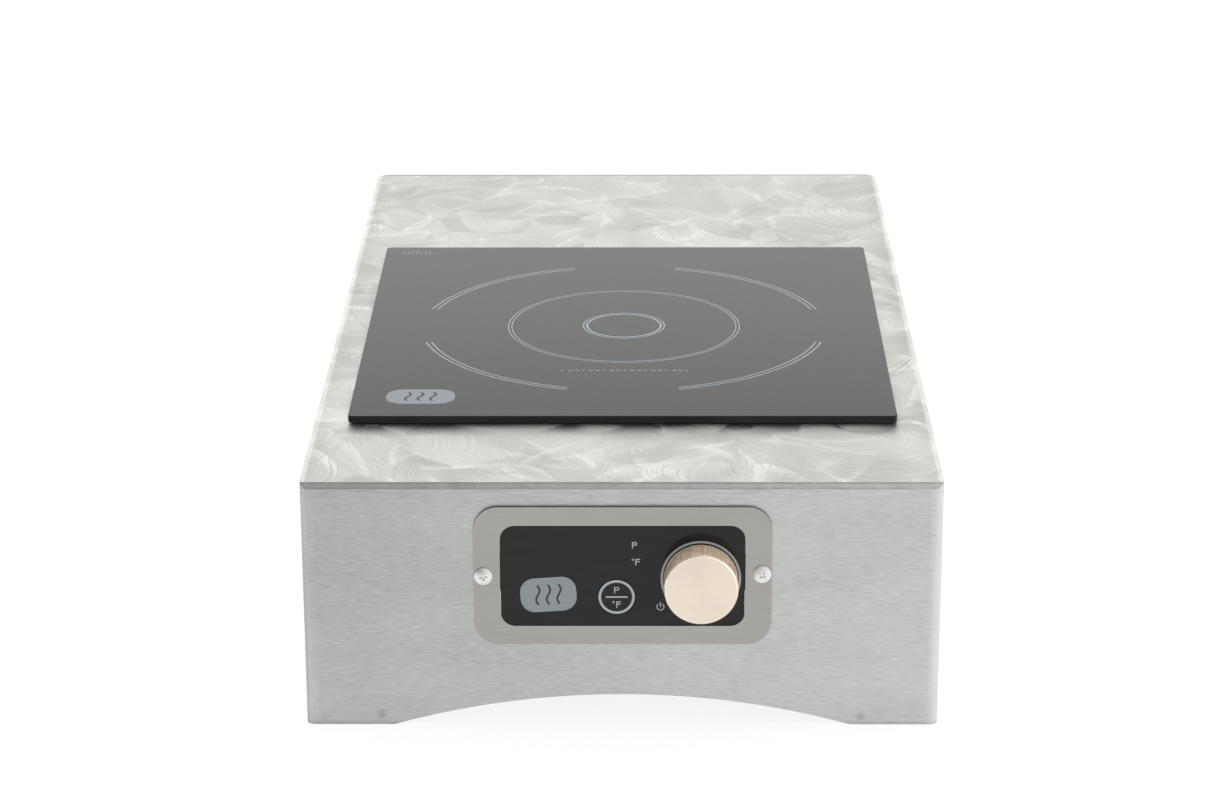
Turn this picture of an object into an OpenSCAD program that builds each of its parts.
// Portable electric induction cooktop: a fabricated aluminium stand, open below, with a
// drop-in induction unit under a ceramic glass plate and a control panel in its front wall.
// Millimetres. +X right, +Y towards the back, +Z up. The origin is the middle of the
// footprint, on the surface that the stand rests on. The front wall faces -Y.

/* [Casing] */
// Width of the stand
body_w = 337; // [330:1:350]
// Depth of the stand, front wall to rear wall
body_d = 597; // [580:1:620]
// Height of the top sheet above the table
body_h = 137; // [134:0.5:145]
// Thickness of the aluminium sheet
sheet_t = 3; // [2.5:0.25:3.5]
// Outer radius of the two front upright corners
front_corner_r = 4.5; // [4:0.5:6]
// Outer radius of the two rear upright corners
rear_corner_r = 8; // [6:0.5:10]
// Ground bevel along the top edge of the front wall
bevel = 2.75; // [1:0.25:2.75]
// Width of the arch in the bottom edge of the front and rear walls
arch_w = 243; // [200:1:250]
// Height of the arch
arch_h = 17.5; // [12:0.5:20]

/* [Glass] */
// Width of the glass plate
glass_w = 300; // [294:1:302]
// Depth of the glass plate
glass_d = 318; // [312:1:320]
// Thickness of the glass
glass_t = 4; // [3:0.5:5]
// Thickness of the silicone seal under the glass
seal_t = 1.1; // [0.8:0.1:1.6]
// Distance from the front wall to the middle of the glass
glass_setback = 250.5; // [245:0.5:256]

/* [Control panel] */
// Width of the bezel
bezel_w = 156.8; // [156:0.2:160]
// Height of the bezel
bezel_h = 77.5; // [76:0.5:80]
// Corner radius of the bezel
bezel_r = 13; // [10:1:15]
// Thickness of the bezel
bezel_t = 1.8; // [1.5:0.1:2.5]
// Height of the middle of the bezel above the table
panel_z = 86; // [84:0.5:88]
// How far the middle of the bezel lies to the right of the middle of the stand
panel_x = 0.5; // [0:0.1:0.6]
// Width of the black window
window_w = 128.5; // [126:0.1:129]
// Height of the black window
window_h = 56.2; // [55:0.1:56.5]
// Corner radius of the window
window_r = 7.8; // [6:0.1:8]
// How far the window lies behind the bezel's face
window_sink = 0.6; // [0.3:0.1:1]
// Distance from the middle of the bezel to each of its screws
bezel_screw_x = 73.3; // [73:0.1:74]
// How much higher the right bezel screw sits than the left
bezel_screw_rise = 1.2; // [0:0.1:1.5]

/* [Dial] */
// Distance from the middle of the panel to the dial's axis
dial_x = 41.6; // [40:0.1:43]
// Height of the dial's axis above the table
dial_z = 84.4; // [83:0.1:87]
// Diameter of the knob
knob_dia = 39; // [34:0.5:40]
// Distance from the front wall to the knob's face
knob_reach = 17.5; // [16:0.5:20]
// Diameter of the dial's shaft
shaft_dia = 6; // [5:0.1:6]
// Angle of the index dot from straight down, to the left
index_angle = 23; // [0:1:60]

/* [Mode button] */
// Distance from the middle of the panel to the button's axis
button_x = -2.7; // [-4:0.1:-1]
// Height of the button's axis above the table
button_z = 73.9; // [72.5:0.1:75]
// Diameter of the button
button_dia = 20.2; // [16:0.2:21]
// How far the button travels
button_travel = 0.8; // [0.4:0.1:1]

/* [Induction unit] */
// Width of the steel pan that hangs under the glass
pan_w = 266; // [262:1:268]
// Depth of the pan
pan_d = 286; // [282:1:288]
// Height of the underside of the pan above the table
pan_z = 52; // [48:1:54]
// Outer radius of the coil
coil_r = 96; // [80:1:97]
// Number of turns in the coil
coil_turns = 18; // [12:1:22]
// Width and height of the square fan
fan_size = 80; // [76:1:80]

/* [Back and feet] */
// Distance from the middle to the cable gland
gland_x = 112; // [90:1:125]
// Height of the cable gland above the table
gland_z = 58; // [50:1:70]
// Radius of the bore in the gland, for a mains lead about 8 mm thick
gland_bore_r = 4.25; // [3.5:0.25:4.5]
// Number of air slots in the rear wall
slot_count = 12; // [6:1:14]
// Diameter of the rubber feet
foot_dia = 24; // [18:1:28]

/* [Hidden] */
$fn = 64;
e = 0.5; // how far a cutting shape runs past the face it cuts
front_y = -body_d / 2;
back_y = body_d / 2;
side_x = body_w / 2;
front_in = front_y + sheet_t; // inner face of the front wall
back_in = back_y - sheet_t;   // inner face of the rear wall
side_in = side_x - sheet_t;   // inner face of the side walls
top_in = body_h - sheet_t;    // underside of the top sheet

arch_r = (pow(arch_w / 2, 2) + pow(arch_h, 2)) / (2 * arch_h); // radius through foot, top, foot

glass_y = front_y + glass_setback; // middle of the glass and of the coil
glass_z = body_h + seal_t;         // underside of the glass
glass_r = 3;
opening_w = pan_w + 12; // hole in the top sheet that the pan hangs through
opening_d = pan_d + 12;
opening_r = 4;
seal_edge = 2;   // how far the seal stays inside the glass's edge
seal_r = 2;

slot_pitch = 9;  // air slots in the rear wall
slot_w = 3.2;
slot_left = -130;
slot_z = [62, 102];

bezel_y = front_y - bezel_t;         // front face of the bezel
window_y = bezel_y + window_sink;    // front face of the window
window_t = 3;
window_back = window_y + window_t;
window_gap = 0.2;     // gap round the window in the bezel
wall_gap = 0.7;       // gap round the control housing in the front wall
tub_back = -262;      // inner face of the control housing's rear wall
tub_t = 2;            // its wall
ear_t = 3;
ear_w = 16;
ear_z = 10;           // half height of its two ears
ear_x = window_w / 2 + 7;
bezel_screw_r = 2;
bezel_screw_length = 14;
bezel_hole_r = bezel_screw_r + 0.2;
nut_r = 4.04;         // a nut for it, across the corners
screw_gap = 0.1;      // gap round a screw in its hole
head_r = 4.75;
head_h = 2;
head_sphere = (pow(head_r, 2) + pow(head_h, 2)) / (2 * head_h);
nut_t = 3.2;
recess_size = 4.4;    // cross recess in the bezel screws
recess_depth = 1.1;
recess_turn = 12;

board_y = -277.5;     // front face of the control circuit board
board_t = 1.6;
board_w = 122;
board_h = 49;
board_fix = [55, 20]; // the board's fixings, across and up from its middle
boss_r = 3;
boss_bore = 1.3;
board_hole = 1.6;
display_x = [-52, -3];
display_z = [88, 107];
display_back = -286;
pin_rows = [91, 104]; // heights of the display's two rows of pins
pin_x = [-48, -7];
pin_half = 0.3;
part_gap = 0.5;       // gap between the window and the parts behind it
led_x = 1.6;
led_zs = [93.6, 103.2];
led_r = 1.5;
led_base = -290;      // where a lamp's lens meets its holder
buzzer_x = -40;
buzzer_z = 72;
buzzer_r = 6;
buzzer_h = 8;
knob_face = front_y - knob_reach;
knob_back = window_y - 0.8;
nut_room_r = 14;      // hollow in the back of the knob, over the dial's nut
nut_room = 5;
chamfer = 0.8;        // round the knob's face
shaft_cover = 3;      // metal between the shaft's hole and the knob's face
fit = 0.05;           // radial clearance of a running fit
bush_r = 4.5;
bush_reach = 3;       // how far the bush stands out of the window
encoder_r = 8.5;
dial_body_back = window_back + 9;
dial_washer_r = 7;
dial_washer_t = 0.5;
dial_nut_r = 6.93;    // across the corners
dial_nut_t = 2;
index_r = 1.1;
index_at = 15.6;
index_t = 0.4;
index_fit = 0.03;
grub_r = 1.5;
grub_reach = 9;
grub_y = knob_back - nut_room - 4;
key_r = 0.85;         // hexagonal socket in the grub screw
key_depth = 1.5;
flat_d = 6;           // length of the flat on the shaft
switch_y = board_y - 3.5; // front face of the small switch
switch_half = 3;
plunger_r = 1.75;
plunger_tip = -284;
plunger_play = 0.7;
stem_r = 2;
button_gap = 0.2;
button_rim = 1.3;     // how far the button's rim reaches behind the window
button_rim_t = 1;
button_rim_gap = 0.2;

pan_t = 1;
floor_z = pan_z + pan_t;      // inside of the pan's floor
flange = 4;                   // the pan's rim, turned outwards
pan_front = glass_y - pan_d / 2;
pan_back = glass_y + pan_d / 2;
vent_w = 4;                   // air slots in the pan's front and right walls
vent_count = 10;
vent_z = [64, 104];
vent_front = [20, 10];        // first place and pitch
vent_side = [-150, 12];
supply_hole_r = 6;            // for the mains wires, in the pan's back wall
supply_x = gland_x - 12;
supply_z = 74;
m4_hole = 2.1;                // clearance holes
m3_hole = 1.7;
clamp_ys = [glass_y - 90, glass_y + 90];
clamp_z = 118;
clamp_low = 106;              // lower end of a bracket
clamp_t = [2, 2.5];           // its upright and its level leg
clamp_half = 10;
clamp_reach = 24;
coil_top = body_h;
coil_t = 4;
carrier_t = 6;
carrier_z = coil_top - coil_t - carrier_t;
carrier_r = 100;
carrier_lug_r = 8;
window_turns = [-11, 11];     // openings in the carrier, in pairs between the posts
window_reach = [44, 90];
window_half = 5;
ferrite_t = 5.5;
ferrite_w = 12;
ferrite_from = 30;
ferrite_length = 62;
ferrite_count = 8;
post_r = 4;
post_at = 104;
post_bore = 1.5;
post_bore_depth = 14;
post_angles = [0, 90, 180, 270];
sensor_r = 2;
sensor_h = 2.8;
sensor_cup_r = 8;
sensor_stem_r = 6;
sensor_stem = 3;              // how far the holder's stem passes the carrier
sensor_hole_r = 6.2;
core_r = 24;                  // inner radius of the winding
turn_share = 0.8;             // part of the pitch that a turn fills
mica_t = 0.6;
mica_r = 105;
mica_hole_r = 10;

power_z = 61;                 // underside of the power circuit board
power_x = 94;                 // its half width
power_front = -140;
power_back = 0;
power_fix = 6;                // its fixings, in from its edges
m3_r = 1.45;
m3_head_r = 2.8;
m3_head_h = 2.2;
standoff_r = 3;
deck = power_z + board_t;     // its upper face
sink_x = -90;                 // left face of the heat sink
sink_w = 60;
sink_front = -124;
sink_d = 104;
sink_h = 40;
sink_base = 6;
fin_count = 7;
fin_pitch = 6.2;
fin_t = 2;
chip_x = sink_x + sink_w;     // transistors and rectifier stand against the sink's base
chip_t = 5;
chip_z = deck + 4;
transistor_ys = [-112, -84];
transistor_w = 16;
transistor_h = 21;
transistor_pins = [2, 7.2, 12.4];
bridge_y = -56;
bridge_w = 30;
bridge_h = 20;
bridge_pins = [2, 10.4, 18.8, 26.6];
pin_w = 1.4;
pin_into = 0.5;               // how far a pin runs into its part
capacitor_x = [2, 34];
resonant_y = [-118, -96];
resonant_h = 34;
smoothing_y = [-84, -66];
smoothing_h = 30;
choke_at = [60, -34];
choke_r = [8, 20];            // inner and outer radius
choke_h = 14;
choke_turns = 6;
choke_pitch = 2;
choke_wire = 1.2;
fuse_x = 55;
fuse_y = [-119.5, -98.5];
fuse_r = 2.5;
fuse_z = deck + 7;
fuse_holder_half = 5;
fuse_holder_y = [-122, -96];
terminal_x = [70, 112];
terminal_y = [44, 66];
terminal_h = 20;
terminal_poles = [77, 91, 105];
terminal_pole_y = 55;
terminal_screw_r = 3.4;
terminal_screw_depth = 8;
terminal_entry_r = 2.6;
terminal_entry_z = 7;

fan_x = -86;
fan_y = 46;
fan_t = 25;
fan_hole = fan_size / 2 - 4.25;
duct_r = fan_size / 2 - 2.5;
hub_r = 14.5;
hub_z = [7, 23];              // the rotor's hub, above the pan's floor
motor_h = 6;
pivot_r = 1.5;
pivot_z = [1, 8];
arm_angles = [30, 150, 270];  // arms that carry the motor
arm_half = 2.5;
arm_t = 4;
blade_r = duct_r - 1.2;
blade_t = 2;
blade_h = 18;
blade_pitch = 38;
blades = 7;
guard_t = 2;
guard_rings = [10, 17, 24, 31, 38];
guard_wire = 1.6;
guard_lug_r = 5;
spoke_half = 1.5;
spoke_reach = fan_hole * sqrt(2) + 4;

lead_x = -30;
lead_z = 92;
lead_r = 2.5;
lead_start = tub_back + tub_t + 2;   // where the lead starts to bend
lead_end = pan_front - 2;            // where it is straight again
lead_sag = 14;                       // how low it hangs between
lead_sides = 10;
lead_steps = 18;
grommet_r = 4.5;
grommet_rim_r = 6.5;
grommet_rim_t = 1.5;
grommet_hole_r = grommet_r + 0.1;

gland_reach = knob_reach;             // the stand's box is as deep behind as in front
gland_thread_r = 9.9;
gland_tail = 9;                       // length inside the rear wall
gland_hex_r = 13.3;                   // across the corners
gland_hex_t = 5;
gland_cap_r = 10.4;
gland_cap_tip_r = 7.4;
gland_dome = 4;
gland_nut_r = 14;                     // across the corners
bracket_half = [17.5, 16];
foot_x = side_in - bracket_half[0];
foot_y = back_in - 24;
foot_h = 10;
foot_taper = [1.5, 2];                // at the foot's lower edge, inwards and upwards
foot_well_r = 4.4;                    // counterbore for the screw's head
foot_well = 5;
bracket_t = 2.5;
bracket_rise = 26;

// ---------- shared shapes ----------

// Rectangle with round corners, centred
module rounded(w, h, r) {
    square([w - 2 * r, h], center = true);
    square([w, h - 2 * r], center = true);
    for (x = [-1, 1], y = [-1, 1])
        translate([x * (w / 2 - r), y * (h / 2 - r)]) circle(r);
}

// Upright plate of the given outline, between two depths y0 and y1
module plate_y(y0, y1)
    translate([0, y1, 0]) rotate([90, 0, 0]) linear_extrude(y1 - y0) children();

// Cylinder along Y between two depths
module rod_y(r, y0, y1)
    translate([0, y1, 0]) rotate([90, 0, 0]) cylinder(r = r, h = y1 - y0);

// Cylinder along Z between two heights
module rod_z(r, z0, z1)
    translate([0, 0, z0]) cylinder(r = r, h = z1 - z0);

// Block between two corners
module block(low, high)
    translate(low) cube(high - low);

// Cross-shaped driver recess, opening towards +Z, sunk from z = 0
module cross_recess(size, depth) {
    for (turn = [0, 90]) rotate(turn)
        translate([-size / 2, -size / 8, -depth]) cube([size, size / 4, depth + e]);
}

// Pan-head screw: head above z = 0, shank below
module screw(shank_r, length, cap_r, cap_h) difference() {
    union() {
        rod_z(shank_r, -length, 0);
        rod_z(cap_r, 0, cap_h);
    }
    translate([0, 0, cap_h]) cross_recess(cap_r * 1.2, cap_h * 0.6);
}

// The stand's outside, full height, before it is hollowed
module outline_block(inset, height) linear_extrude(height) {
    w = side_x - inset;
    d = back_y - inset;
    front_r = front_corner_r - inset;
    rear_r = rear_corner_r - inset;
    square([2 * (w - rear_r), 2 * d], center = true);
    translate([-w, -d + front_r]) square([2 * w, 2 * d - front_r - rear_r]);
    translate([-w + front_r, -d]) square([2 * (w - front_r), d]);
    for (side = [-1, 1]) {
        translate([side * (w - front_r), -d + front_r]) circle(front_r);
        translate([side * (w - rear_r), d - rear_r]) circle(rear_r);
    }
}

// Copies at the four corners of a rectangle, given by half its sides
module at_corners(half_w, half_d)
    for (x = [-1, 1], y = [-1, 1]) translate([x * half_w, y * half_d, 0]) children();

// Copies at the four feet, mirrored on the left
module at_feet()
    for (x = [-1, 1], y = [-1, 1]) translate([x * foot_x, y * foot_y, 0])
        scale([x, 1, 1]) children();

// ---------- casing ----------

// Top sheet and both side walls, bent from one sheet
module top_shell() color("gainsboro") difference() {
    outline_block(0, body_h);
    translate([0, 0, -e]) outline_block(sheet_t, top_in + e);
    block([-side_x - e, front_y - e, -e], [side_x + e, front_in, body_h + e]);
    block([-side_x - e, back_in, -e], [side_x + e, back_y + e, body_h + e]);
    translate([0, glass_y, top_in - e])
        linear_extrude(sheet_t + 2 * e) rounded(opening_w, opening_d, opening_r);
}

// Cylinder that cuts the arch into an end wall's bottom edge
module arch_cut(y0, y1)
    translate([0, 0, arch_h - arch_r]) rod_y(arch_r, y0 - e, y1 + e);

module front_plate() color("silver") difference() {
    intersection() {
        outline_block(0, body_h);
        block([-side_x, front_y, 0], [side_x, front_in, body_h]);
    }
    arch_cut(front_y, front_in);
    translate([0, front_y, body_h]) rotate([45, 0, 0])
        cube([body_w + 2 * e, bevel * sqrt(2), bevel * sqrt(2)], center = true);
    plate_y(front_y - e, front_in + e) window_outline(wall_gap);
    at_bezel_screws() rod_y(bezel_hole_r, front_y - e, front_in + e);
}

module rear_plate() color("silver") difference() {
    intersection() {
        outline_block(0, body_h);
        block([-side_x, back_in, 0], [side_x, back_y, body_h]);
    }
    arch_cut(back_in, back_y);
    translate([gland_x, 0, gland_z]) rod_y(gland_thread_r + 0.2, back_in - e, back_y + e);
    for (i = [0 : slot_count - 1]) translate([slot_left + i * slot_pitch, 0, 0])
        block([0, back_in - e, slot_z[0]], [slot_w, back_y + e, slot_z[1]]);
}

// ---------- glass ----------

module glass_top() color([0.12, 0.12, 0.13])
    translate([0, glass_y, glass_z]) linear_extrude(glass_t) rounded(glass_w, glass_d, glass_r);

module glass_seal() color([0.08, 0.08, 0.08])
    translate([0, glass_y, body_h]) linear_extrude(seal_t) difference() {
        rounded(glass_w - 2 * seal_edge, glass_d - 2 * seal_edge, seal_r);
        square([pan_w - 2 * pan_t, pan_d - 2 * pan_t], center = true);
    }

// ---------- control panel ----------

// The window's outline, grown all round, in the plane of the front wall
module window_outline(grow)
    translate([panel_x, panel_z])
        rounded(window_w + 2 * grow, window_h + 2 * grow, window_r + grow);

// Copies at the two bezel screws, the right one a little higher
module at_bezel_screws()
    for (side = [-1, 1])
        translate([panel_x + side * bezel_screw_x, 0, panel_z + (side + 1) / 2 * bezel_screw_rise])
            children();

module front_bezel() color([0.66, 0.64, 0.61]) difference() {
    plate_y(bezel_y, front_y) difference() {
        translate([panel_x, panel_z]) rounded(bezel_w, bezel_h, bezel_r);
        window_outline(window_gap);
    }
    at_bezel_screws() rod_y(bezel_hole_r, bezel_y - e, front_y + e);
}

// Two domed cross-head screws through the bezel and the front wall
module bezel_screws() color("gainsboro")
    at_bezel_screws() translate([0, bezel_y, 0]) rotate([90, 0, 0]) difference() {
        union() {
            intersection() {
                translate([0, 0, head_h - head_sphere]) sphere(head_sphere);
                rod_z(head_r, 0, head_h + e);
            }
            rod_z(bezel_screw_r, -bezel_screw_length, 0);
        }
        translate([0, 0, head_h]) rotate(recess_turn) cross_recess(recess_size, recess_depth);
    }

module bezel_nuts() color("silver")
    at_bezel_screws() translate([0, front_in + ear_t, 0]) rotate([-90, 0, 0]) difference() {
        cylinder(r = nut_r, h = nut_t, $fn = 6);
        rod_z(bezel_screw_r + fit, -e, nut_t + e);
    }

module control_window() color([0.15, 0.15, 0.15]) difference() {
    plate_y(window_y, window_back) window_outline(0);
    translate([dial_x, 0, dial_z]) rod_y(bush_r + screw_gap, window_y - e, window_back + e);
    translate([button_x, 0, button_z])
        rod_y(button_dia / 2 + button_gap, window_y - e, window_back + e);
}

// Copies at the control board's four fixings
module at_control_board()
    for (x = [-1, 1], z = [-1, 1])
        translate([panel_x + x * board_fix[0], 0, panel_z + z * board_fix[1]]) children();

// Plastic tub behind the window, with an ear at each side for the bezel's screws
module control_housing() color([0.2, 0.2, 0.2]) difference() {
    union() {
        difference() {
            plate_y(window_back, tub_back + tub_t) window_outline(0);
            plate_y(window_back - e, tub_back) window_outline(-tub_t);
        }
        for (x = [-1, 1]) translate([panel_x + x * ear_x, front_in + ear_t / 2, panel_z])
            cube([ear_w, ear_t, 2 * ear_z], center = true);
        at_control_board() rod_y(boss_r, board_y + board_t, tub_back + tub_t / 2);
    }
    at_bezel_screws() rod_y(bezel_hole_r, front_in - e, front_in + ear_t + e);
    at_control_board() rod_y(boss_bore, board_y + board_t - e, tub_back - tub_t);
    translate([lead_x, 0, lead_z]) rod_y(grommet_hole_r, tub_back - e, tub_back + tub_t + e);
}

module control_board() color("darkgreen") difference() {
    translate([panel_x - board_w / 2, board_y, panel_z - board_h / 2])
        cube([board_w, board_t, board_h]);
    at_control_board() rod_y(board_hole, board_y - e, board_y + board_t + e);
}

module control_board_screws() color("silver")
    at_control_board() translate([0, board_y, 0]) rotate([90, 0, 0]) screw(1.2, 8, 2.6, 1.8);

// Four-digit display, standing on its pins behind the window
module display_module() color([0.1, 0.1, 0.1]) {
    block([display_x[0], window_back + part_gap, display_z[0]],
          [display_x[1], display_back, display_z[1]]);
    for (z = pin_rows)
        block([pin_x[0], display_back, z - pin_half], [pin_x[1], board_y, z + pin_half]);
}

module indicator_leds() color("tomato")
    for (z = led_zs) translate([led_x, 0, z]) {
        rod_y(led_r, window_back + part_gap, led_base);
        rod_y(led_r + 0.5, led_base, board_y);
    }

module buzzer() color([0.1, 0.1, 0.1])
    translate([buzzer_x, 0, buzzer_z]) difference() {
        rod_y(buzzer_r, board_y - buzzer_h, board_y);
        rod_y(1, board_y - buzzer_h - e, board_y - buzzer_h + 2);
    }

// ---------- dial ----------

module knob() color([0.85, 0.74, 0.64]) translate([dial_x, 0, dial_z]) difference() {
    union() {
        rod_y(knob_dia / 2, knob_face + chamfer, knob_back);
        translate([0, knob_face + chamfer, 0]) rotate([90, 0, 0])
            cylinder(r1 = knob_dia / 2, r2 = knob_dia / 2 - chamfer, h = chamfer);
    }
    rod_y(nut_room_r, knob_back - nut_room, knob_back + e);
    rod_y(shaft_dia / 2 + fit, knob_face + shaft_cover, knob_back - nut_room + e);
    translate([0, grub_y, 0]) rotate([180, 0, 0]) cylinder(r = grub_r + fit, h = knob_dia / 2 + e);
    rotate([0, index_angle, 0]) translate([0, 0, -index_at])
        rod_y(index_r, knob_face - e, knob_face + index_t);
}

// Enamel dot let into the knob's face
module knob_index() color("white") translate([dial_x, 0, dial_z])
    rotate([0, index_angle, 0]) translate([0, 0, -index_at])
        rod_y(index_r - index_fit, knob_face, knob_face + index_t);

module knob_grub_screw() color("dimgray") translate([dial_x, grub_y, dial_z])
    rotate([180, 0, 0]) difference() {
        rod_z(grub_r, shaft_dia / 2 + fit, grub_reach);
        translate([0, 0, grub_reach - key_depth]) cylinder(r = key_r, h = key_depth + e, $fn = 6);
    }

module dial_shaft() color("silver") translate([dial_x, 0, dial_z]) difference() {
    rod_y(shaft_dia / 2, knob_face + shaft_cover + 0.2, dial_body_back - 2);
    translate([0, grub_y, -shaft_dia / 2 - 2]) cube([shaft_dia, flat_d, 4.6], center = true);
}

// Rotary switch body with its threaded bush
module dial_encoder() color([0.3, 0.3, 0.32]) translate([dial_x, 0, dial_z]) difference() {
    union() {
        rod_y(bush_r, window_y - bush_reach, window_back + 1);
        rod_y(encoder_r, window_back, dial_body_back);
        block([-5, dial_body_back - 1, -9], [5, board_y, -6]);
    }
    rod_y(shaft_dia / 2 + fit, window_y - bush_reach - e, dial_body_back - 1.5);
}

module dial_washer() color("silver") translate([dial_x, 0, dial_z]) difference() {
    rod_y(dial_washer_r, window_y - dial_washer_t, window_y);
    rod_y(bush_r + screw_gap, window_y - dial_washer_t - e, window_y + e);
}

module dial_nut() color("silver") translate([dial_x, window_y - dial_washer_t, dial_z])
    rotate([90, 0, 0]) difference() {
        cylinder(r = dial_nut_r, h = dial_nut_t, $fn = 6);
        rod_z(bush_r + fit, -e, dial_nut_t + e);
    }

// ---------- mode button ----------

module mode_button() color([0.15, 0.15, 0.15]) translate([button_x, 0, button_z]) {
    rim_y = window_back + button_rim_gap;
    rod_y(button_dia / 2, window_y, rim_y);
    rod_y(button_dia / 2 + button_rim, rim_y, rim_y + button_rim_t);
    rod_y(stem_r, rim_y + button_rim_t, plunger_tip);
}

module switch_plunger() color("black")
    translate([button_x, 0, button_z]) rod_y(plunger_r, plunger_tip, switch_y + 1);

module tact_switch() color("dimgray") translate([button_x, 0, button_z]) difference() {
    block([-switch_half, switch_y, -switch_half], [switch_half, board_y, switch_half]);
    rod_y(plunger_r + screw_gap, switch_y - e, switch_y + 1 + button_travel + plunger_play);
}

// ---------- lead between the control panel and the unit ----------

// Points round the lead at a depth y and a drop z, square to a run that slopes by an angle
function lead_ring(y, z, slope) = [for (i = [0 : lead_sides - 1])
    let (a = i * 360 / lead_sides)
    [lead_r * cos(a), y - lead_r * sin(a) * sin(slope), z + lead_r * sin(a) * cos(slope)]];

// Part of the way along the sagging stretch, 0 to 1
function lead_drop(t) = -lead_sag * (1 - cos(360 * t)) / 2;
function lead_slope(t) = atan(-lead_sag * PI * sin(360 * t) / (lead_end - lead_start));

// The lead sags between its two grommets, and is straight inside them
module control_lead() color("dimgray") translate([lead_x, 0, lead_z]) {
    sag_rings = [for (k = [0 : lead_steps])
        let (t = k / lead_steps)
        lead_ring(lead_start + t * (lead_end - lead_start), lead_drop(t), lead_slope(t))];
    rings = concat([lead_ring(tub_back - 6, 0, 0)], sag_rings, [lead_ring(pan_front + 8, 0, 0)]);
    last = len(rings) - 1;
    points = [for (ring = rings) each ring];
    walls = [for (k = [0 : last - 1], i = [0 : lead_sides - 1])
        let (j = (i + 1) % lead_sides, a = k * lead_sides, b = a + lead_sides)
        each [[a + i, b + i, b + j], [a + i, b + j, a + j]]];
    ends = [[for (i = [0 : lead_sides - 1]) i],
            [for (i = [lead_sides - 1 : -1 : 0]) last * lead_sides + i]];
    polyhedron(points, concat(walls, ends));
}

// One grommet in the control housing's rear wall and one in the pan's front wall
module lead_grommets() color([0.08, 0.08, 0.08]) translate([lead_x, 0, lead_z]) {
    grommet(tub_back, tub_t);
    grommet(pan_front, pan_t);
}

module grommet(y, wall) difference() {
    union() {
        rod_y(grommet_r, y, y + wall);
        rod_y(grommet_rim_r, y - grommet_rim_t, y);
        rod_y(grommet_rim_r, y + wall, y + wall + grommet_rim_t);
    }
    rod_y(lead_r + screw_gap, y - grommet_rim_t - e, y + wall + grommet_rim_t + e);
}

// ---------- induction unit: pan and fixings ----------

module unit_pan() color([0.6, 0.62, 0.64]) difference() {
    union() {
        difference() {
            block([-pan_w / 2, pan_front, pan_z], [pan_w / 2, pan_back, body_h]);
            block([-pan_w / 2 + pan_t, pan_front + pan_t, floor_z],
                  [pan_w / 2 - pan_t, pan_back - pan_t, body_h + e]);
        }
        difference() {
            block([-pan_w / 2 - flange, pan_front - flange, body_h - pan_t],
                  [pan_w / 2 + flange, pan_back + flange, body_h]);
            block([-pan_w / 2 + pan_t / 2, pan_front + pan_t / 2, body_h - pan_t - e],
                  [pan_w / 2 - pan_t / 2, pan_back - pan_t / 2, body_h + e]);
        }
    }
    translate([fan_x, fan_y, 0]) {
        rod_z(duct_r - 1, pan_z - e, floor_z + e);
        at_corners(fan_hole, fan_hole) rod_z(m4_hole, pan_z - e, floor_z + e);
    }
    for (x = [-1, 1], y = clamp_ys) translate([x * pan_w / 2, y, clamp_z])
        rotate([0, 90, 0]) rod_z(m4_hole, -2, 2);
    translate([lead_x, 0, lead_z]) rod_y(grommet_hole_r, pan_front - e, pan_front + pan_t + e);
    translate([supply_x, 0, supply_z]) rod_y(supply_hole_r, pan_back - pan_t - e, pan_back + e);
    for (i = [0 : vent_count - 1]) {
        translate([vent_front[0] + i * vent_front[1], 0, 0])
            block([0, pan_front - e, vent_z[0]], [vent_w, pan_front + pan_t + e, vent_z[1]]);
        translate([0, vent_side[0] + i * vent_side[1], 0])
            block([pan_w / 2 - pan_t - e, 0, vent_z[0]], [pan_w / 2 + e, vent_w, vent_z[1]]);
    }
}

// Four angles that grip the underside of the top sheet
module clamp_brackets() color("silver")
    for (x = [-1, 1], y = clamp_ys) scale([x, 1, 1]) translate([pan_w / 2, y, 0]) difference() {
        union() {
            block([0, -clamp_half, clamp_low], [clamp_t[0], clamp_half, top_in]);
            block([0, -clamp_half, top_in - clamp_t[1]], [clamp_reach, clamp_half, top_in]);
        }
        translate([0, 0, clamp_z]) rotate([0, 90, 0]) rod_z(m4_hole, -e, clamp_t[0] + e);
    }

module clamp_screws() color("gainsboro")
    for (x = [-1, 1], y = clamp_ys) scale([x, 1, 1])
        translate([pan_w / 2 + clamp_t[0], y, clamp_z]) rotate([0, 90, 0]) screw(2, 8, 4, 2.6);

// ---------- induction unit: coil ----------

// Copies at the four posts that carry the coil
module at_posts()
    for (a = post_angles) rotate(a) translate([post_at, 0, 0]) children();

module coil_carrier() color([0.85, 0.83, 0.76]) translate([0, glass_y, 0]) difference() {
    union() {
        rod_z(carrier_r, carrier_z, carrier_z + carrier_t);
        at_posts() rod_z(carrier_lug_r, carrier_z, carrier_z + carrier_t);
    }
    rod_z(sensor_hole_r, carrier_z - e, carrier_z + carrier_t + e);
    at_posts() rod_z(m3_hole, carrier_z - e, carrier_z + carrier_t + e);
    for (a = post_angles, turn = window_turns) rotate(a + 45 + turn)
        block([window_reach[0], -window_half, carrier_z - e],
              [window_reach[1], window_half, carrier_z + carrier_t + e]);
}

// Flat spiral of litz wire, drawn as its turns side by side
module coil_winding() color([0.72, 0.42, 0.22]) translate([0, glass_y, coil_top - coil_t]) {
    pitch = (coil_r - core_r) / coil_turns;
    rotate_extrude() {
        translate([core_r, 0]) square([coil_r - core_r, coil_t - 1]);
        for (i = [0 : coil_turns - 1])
            translate([core_r + (i + (1 - turn_share) / 2) * pitch, 0])
                square([pitch * turn_share, coil_t]);
    }
}

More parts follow.
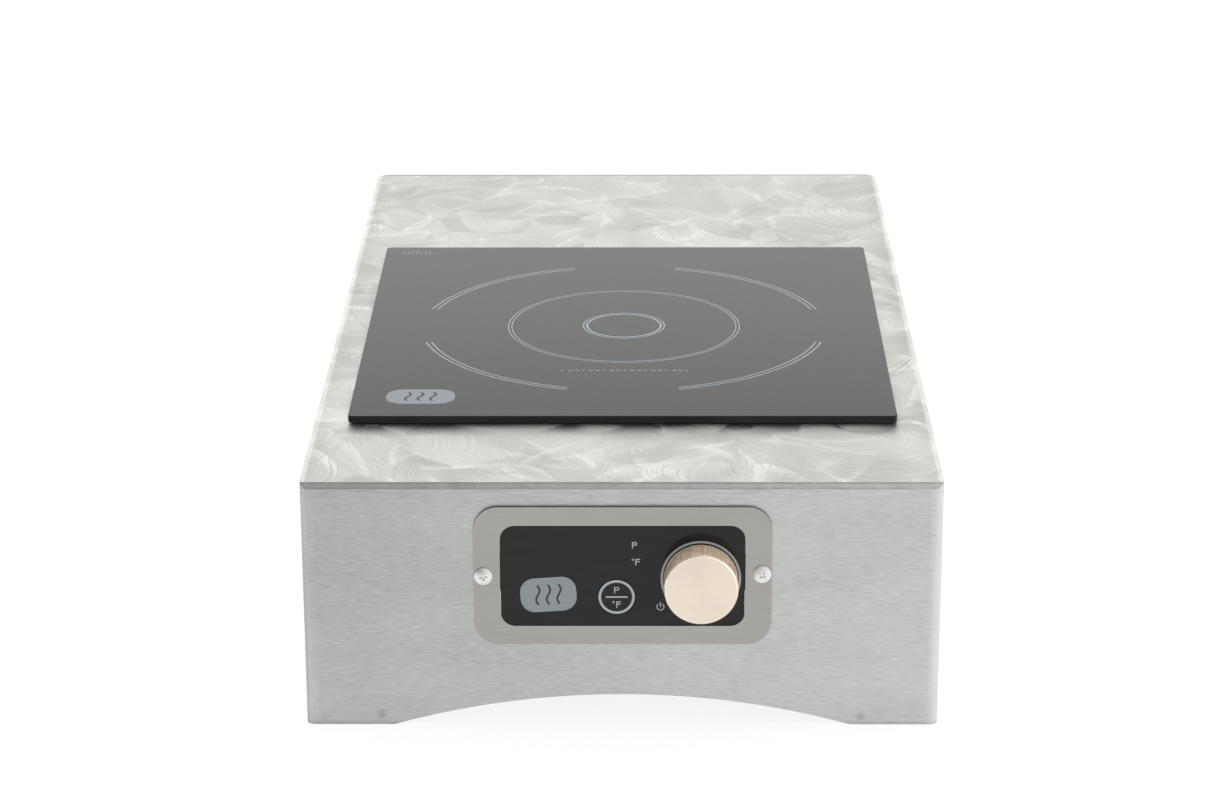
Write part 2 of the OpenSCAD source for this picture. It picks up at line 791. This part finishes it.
module ferrite_bars() color([0.2, 0.2, 0.22]) translate([0, glass_y, carrier_z - ferrite_t])
    for (i = [0 : ferrite_count - 1]) rotate(i * 360 / ferrite_count)
        translate([ferrite_from, -ferrite_w / 2, 0]) cube([ferrite_length, ferrite_w, ferrite_t]);

module mica_sheet() color([0.8, 0.76, 0.62]) translate([0, glass_y, coil_top]) difference() {
    cylinder(r = mica_r, h = mica_t);
    rod_z(mica_hole_r, -e, mica_t + e);
}

module sensor_holder() color("white") translate([0, glass_y, 0]) difference() {
    union() {
        rod_z(sensor_stem_r, carrier_z - sensor_stem, carrier_z + carrier_t + 1);
        rod_z(sensor_cup_r, carrier_z + carrier_t, glass_z);
    }
    rod_z(sensor_r + fit, glass_z - sensor_h - 0.2, glass_z + e);
}

module temperature_sensor() color("firebrick")
    translate([0, glass_y, 0]) rod_z(sensor_r, glass_z - sensor_h, glass_z);

module coil_posts() color("gainsboro") translate([0, glass_y, 0]) at_posts() difference() {
    rod_z(post_r, floor_z, carrier_z);
    rod_z(post_bore, carrier_z - post_bore_depth, carrier_z + e);
}

module coil_screws() color("silver") translate([0, glass_y, carrier_z + carrier_t])
    at_posts() screw(m3_r, 16, m3_head_r, m3_head_h);

// ---------- induction unit: electronics ----------

// Copies at the power board's four fixings
module at_power_board()
    translate([0, (power_front + power_back) / 2, 0])
        at_corners(power_x - power_fix, (power_back - power_front) / 2 - power_fix) children();

module power_board() color("darkgreen") difference() {
    block([-power_x, power_front, power_z], [power_x, power_back, deck]);
    at_power_board() rod_z(m3_hole, power_z - e, deck + e);
}

module board_standoffs() color("goldenrod") at_power_board() difference() {
    rod_z(standoff_r, floor_z, power_z);
    rod_z(post_bore, floor_z + 1, power_z + e);
}

module board_screws() color("silver") at_power_board()
    translate([0, 0, deck]) screw(m3_r, 7, m3_head_r, m3_head_h);

module heat_sink() color("silver") translate([sink_x, sink_front, deck]) {
    translate([sink_w - sink_base, 0, 0]) cube([sink_base, sink_d, sink_h]);
    for (i = [0 : fin_count - 1]) translate([0, 0, i * fin_pitch]) cube([sink_w, sink_d, fin_t]);
}

// Flat package standing on its pins against the sink's base
module chip(y, width, height, pins) translate([chip_x, y, chip_z]) {
    cube([chip_t, width, height]);
    for (pin = pins) translate([chip_t / 2 - 0.5, pin, deck - chip_z])
        cube([1, pin_w, chip_z - deck + pin_into]);
}

module power_transistors() color([0.12, 0.12, 0.12])
    for (y = transistor_ys) chip(y, transistor_w, transistor_h, transistor_pins);

module bridge_rectifier() color([0.12, 0.12, 0.12])
    chip(bridge_y, bridge_w, bridge_h, bridge_pins);

// Box capacitor on the power board, between two depths
module capacitor(depths, height)
    block([capacitor_x[0], depths[0], deck], [capacitor_x[1], depths[1], deck + height]);

module resonant_capacitor() color("royalblue") capacitor(resonant_y, resonant_h);

module smoothing_capacitor() color("darkorange") capacitor(smoothing_y, smoothing_h);

module mains_choke() color([0.75, 0.5, 0.25]) translate([choke_at[0], choke_at[1], deck])
    rotate_extrude() translate([choke_r[0], 0]) {
        square([choke_r[1] - choke_r[0], choke_h]);
        for (i = [0 : choke_turns - 1])
            translate([i * choke_pitch + (choke_pitch - choke_wire) / 2, 0])
                square([choke_wire, choke_h + choke_wire / 2]);
    }

module fuse_holder() color([0.15, 0.15, 0.15]) difference() {
    block([fuse_x - fuse_holder_half, fuse_holder_y[0], deck],
          [fuse_x + fuse_holder_half, fuse_holder_y[1], fuse_z]);
    translate([fuse_x, 0, fuse_z]) rod_y(fuse_r + screw_gap, fuse_y[0] - e, fuse_y[1] + e);
}

module fuse() color("lightgray")
    translate([fuse_x, 0, fuse_z]) rod_y(fuse_r, fuse_y[0], fuse_y[1]);

// Mains terminal block on the pan's floor
module terminal_block() color([0.9, 0.9, 0.88]) difference() {
    top = floor_z + terminal_h;
    block([terminal_x[0], terminal_y[0], floor_z], [terminal_x[1], terminal_y[1], top]);
    for (x = terminal_poles) {
        translate([x, terminal_pole_y, 0])
            rod_z(terminal_screw_r, top - terminal_screw_depth, top + e);
        translate([x, 0, floor_z + terminal_entry_z])
            rod_y(terminal_entry_r, terminal_pole_y + 3, terminal_y[1] + e);
    }
}

// ---------- induction unit: fan ----------

module fan_frame() color([0.15, 0.15, 0.15]) translate([fan_x, fan_y, 0]) difference() {
    union() {
        difference() {
            block([-fan_size / 2, -fan_size / 2, floor_z],
                  [fan_size / 2, fan_size / 2, floor_z + fan_t]);
            rod_z(duct_r, floor_z - e, floor_z + fan_t + e);
        }
        rod_z(hub_r - 0.5, floor_z, floor_z + motor_h);
        for (a = arm_angles) rotate(a)
            block([hub_r - 3, -arm_half, floor_z], [duct_r + 1, arm_half, floor_z + arm_t]);
    }
    rod_z(pivot_r + fit, floor_z - e, floor_z + motor_h + e);
    at_corners(fan_hole, fan_hole) rod_z(m4_hole, floor_z - e, floor_z + fan_t + e);
}

module fan_rotor() color([0.1, 0.1, 0.1]) translate([fan_x, fan_y, floor_z]) {
    rod_z(pivot_r, pivot_z[0], pivot_z[1]);
    rod_z(hub_r, hub_z[0], hub_z[1]);
    intersection() {
        rod_z(blade_r, hub_z[0], hub_z[1]);
        for (i = [0 : blades - 1]) rotate(i * 360 / blades)
            translate([hub_r - 2, 0, (hub_z[0] + hub_z[1]) / 2]) rotate([blade_pitch, 0, 0])
                translate([0, -blade_t / 2, -blade_h / 2]) cube([blade_r, blade_t, blade_h]);
    }
}

// Ring grille under the fan's inlet
module fan_guard() color("gainsboro") translate([fan_x, fan_y, pan_z - guard_t]) difference() {
    union() {
        for (r = guard_rings) difference() {
            cylinder(r = r, h = guard_t);
            rod_z(r - guard_wire, -e, guard_t + e);
        }
        for (a = [45, 135]) rotate(a)
            block([-spoke_reach, -spoke_half, 0], [spoke_reach, spoke_half, guard_t]);
        at_corners(fan_hole, fan_hole) cylinder(r = guard_lug_r, h = guard_t);
    }
    at_corners(fan_hole, fan_hole) rod_z(m4_hole, -e, guard_t + e);
}

module fan_screws() color("silver") translate([fan_x, fan_y, pan_z - guard_t])
    at_corners(fan_hole, fan_hole) rotate([180, 0, 0]) screw(1.9, 26, 3.8, 2.4);

// ---------- back and feet ----------

// Nylon gland for the mains lead: threaded through the rear wall, with a domed cap outside
module cable_gland() color([0.15, 0.15, 0.16]) translate([gland_x, 0, gland_z]) difference() {
    union() {
        rod_y(gland_thread_r, back_in - gland_tail, back_y + 1);
        translate([0, back_y + gland_hex_t, 0]) rotate([90, 0, 0])
            cylinder(r = gland_hex_r, h = gland_hex_t, $fn = 6);
        rod_y(gland_cap_r, back_y + gland_hex_t, back_y + gland_reach - gland_dome);
        translate([0, back_y + gland_reach - gland_dome, 0]) rotate([-90, 0, 0])
            cylinder(r1 = gland_cap_r, r2 = gland_cap_tip_r, h = gland_dome);
    }
    rod_y(gland_bore_r, back_in - gland_tail - e, back_y + gland_reach + e);
}

module gland_nut() color([0.15, 0.15, 0.16])
    translate([gland_x, back_in - gland_hex_t, gland_z]) rotate([-90, 0, 0]) difference() {
        cylinder(r = gland_nut_r, h = gland_hex_t, $fn = 6);
        rod_z(gland_thread_r + fit, -e, gland_hex_t + e);
    }

// Four angles inside the side walls that carry the feet
module foot_brackets() color("silver") at_feet() difference() {
    union() {
        w = bracket_half[0];
        d = bracket_half[1];
        block([-w, -d, foot_h], [w, d, foot_h + bracket_t]);
        block([w - bracket_t, -d, foot_h], [w, d, foot_h + bracket_rise]);
    }
    rod_z(m4_hole, foot_h - e, foot_h + bracket_t + e);
}

module rubber_feet() color([0.1, 0.1, 0.1]) at_feet() difference() {
    union() {
        rod_z(foot_dia / 2, foot_taper[1], foot_h);
        cylinder(r1 = foot_dia / 2 - foot_taper[0], r2 = foot_dia / 2, h = foot_taper[1]);
    }
    rod_z(foot_well_r, -e, foot_well);
    rod_z(m4_hole, foot_well - e, foot_h + e);
}

module foot_screws() color("silver") at_feet()
    translate([0, 0, foot_well]) rotate([180, 0, 0]) screw(1.95, 12, 4, 2.4);

top_shell();
front_plate();
rear_plate();
glass_top();
glass_seal();
front_bezel();
bezel_screws();
bezel_nuts();
control_window();
control_housing();
knob();
knob_index();
knob_grub_screw();
dial_shaft();
dial_encoder();
dial_washer();
dial_nut();
mode_button();
switch_plunger();
tact_switch();
control_board();
control_board_screws();
display_module();
indicator_leds();
buzzer();
control_lead();
lead_grommets();
unit_pan();
clamp_brackets();
clamp_screws();
coil_carrier();
coil_winding();
ferrite_bars();
mica_sheet();
sensor_holder();
temperature_sensor();
coil_posts();
coil_screws();
power_board();
board_standoffs();
board_screws();
heat_sink();
power_transistors();
bridge_rectifier();
resonant_capacitor();
smoothing_capacitor();
mains_choke();
fuse_holder();
fuse();
terminal_block();
fan_frame();
fan_rotor();
fan_guard();
fan_screws();
cable_gland();
gland_nut();
foot_brackets();
rubber_feet();
foot_screws();
